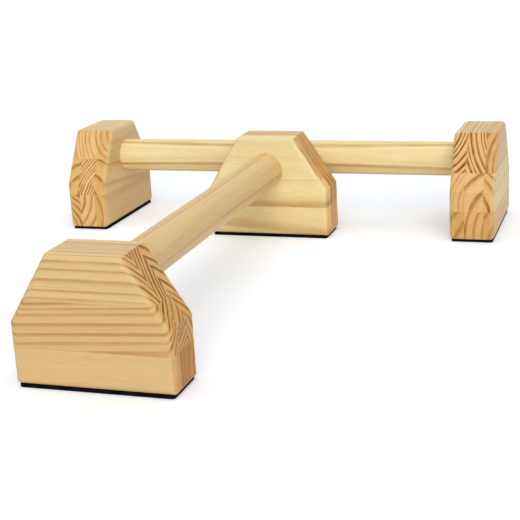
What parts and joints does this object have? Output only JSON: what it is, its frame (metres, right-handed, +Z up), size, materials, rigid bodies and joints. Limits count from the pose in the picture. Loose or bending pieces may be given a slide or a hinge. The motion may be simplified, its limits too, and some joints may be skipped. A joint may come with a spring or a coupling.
{
  "type": "parallettes",
  "caption": "Low wooden parallettes in a matched pair, each a round grip set into two sloped, laminated end blocks on rubber pads, for push-ups, dips and handstands.",
  "frame": {"origin": "on the floor, at the centre of the base of the space that the pair takes up", "axes": "+Z up; +Y along the front bar, from its near block to the rear bar; +X along the rear bar"},
  "size_m": [0.5, 0.596, 0.113],
  "materials": {
    "pine_grip": "turned and sanded pine under clear satin varnish",
    "pine_stave": "sawn, routed and sanded laminated pine under clear satin varnish",
    "rubber_foot": "matt black die-cut sheet"
  },
  "bodies": {
    "front_bar": {"front_grip": "pine_grip", "front_near_rubber_foot": "rubber_foot", "front_near_block_lower_inner_stave": "pine_stave", "front_near_block_lower_core_stave": "pine_stave", "front_near_block_lower_outer_stave": "pine_stave", "front_near_block_middle_inner_stave": "pine_stave", "front_near_block_middle_core_stave": "pine_stave", "front_near_block_middle_outer_stave": "pine_stave", "front_near_block_upper_inner_stave": "pine_stave", "front_near_block_upper_core_stave": "pine_stave", "front_near_block_upper_outer_stave": "pine_stave", "front_far_rubber_foot": "rubber_foot", "front_far_block_lower_inner_stave": "pine_stave", "front_far_block_lower_core_stave": "pine_stave", "front_far_block_lower_outer_stave": "pine_stave", "front_far_block_middle_inner_stave": "pine_stave", "front_far_block_middle_core_stave": "pine_stave", "front_far_block_middle_outer_stave": "pine_stave", "front_far_block_upper_inner_stave": "pine_stave", "front_far_block_upper_core_stave": "pine_stave", "front_far_block_upper_outer_stave": "pine_stave"},
    "rear_bar": {"rear_grip": "pine_grip", "rear_left_rubber_foot": "rubber_foot", "rear_left_block_lower_inner_stave": "pine_stave", "rear_left_block_lower_core_stave": "pine_stave", "rear_left_block_lower_outer_stave": "pine_stave", "rear_left_block_middle_inner_stave": "pine_stave", "rear_left_block_middle_core_stave": "pine_stave", "rear_left_block_middle_outer_stave": "pine_stave", "rear_left_block_upper_inner_stave": "pine_stave", "rear_left_block_upper_core_stave": "pine_stave", "rear_left_block_upper_outer_stave": "pine_stave", "rear_right_rubber_foot": "rubber_foot", "rear_right_block_lower_inner_stave": "pine_stave", "rear_right_block_lower_core_stave": "pine_stave", "rear_right_block_lower_outer_stave": "pine_stave", "rear_right_block_middle_inner_stave": "pine_stave", "rear_right_block_middle_core_stave": "pine_stave", "rear_right_block_middle_outer_stave": "pine_stave", "rear_right_block_upper_inner_stave": "pine_stave", "rear_right_block_upper_core_stave": "pine_stave", "rear_right_block_upper_outer_stave": "pine_stave"}
  },
  "joints": [
    {"name": "rear_bar_lift", "type": "slide", "parent": "front_bar", "child": "rear_bar", "axis": [0, 0, 1], "range_m": [0, 0.25]}
  ]
}
